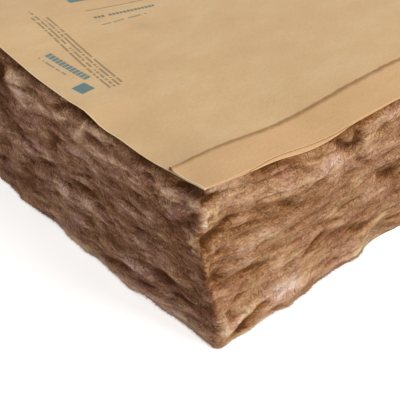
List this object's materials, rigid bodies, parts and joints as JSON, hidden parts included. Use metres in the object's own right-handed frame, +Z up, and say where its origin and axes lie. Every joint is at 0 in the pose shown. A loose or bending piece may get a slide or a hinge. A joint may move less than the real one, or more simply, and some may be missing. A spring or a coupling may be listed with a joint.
{
  "type": "kraft-faced glass wool batt",
  "caption": "Long slab of glass wool insulation for a stud bay, with a bitumen-coated kraft paper facing that is pleated into a stapling flange along each long side.",
  "frame": {"origin": "middle of the underside of the wool, on the floor that the batt lies on", "axes": "+X along the batt, +Y across it, +Z up through its thickness to the kraft facing"},
  "size_m": [2.362, 0.5842, 0.142],
  "materials": {
    "glass_wool": "loose matted glass fibre, pinkish tan with brown hollows",
    "kraft_paper": "smooth brown kraft paper, matt"
  },
  "bodies": {
    "root": {"glass_wool_blanket": "glass_wool", "kraft_facing": "kraft_paper"}
  },
  "joints": []
}
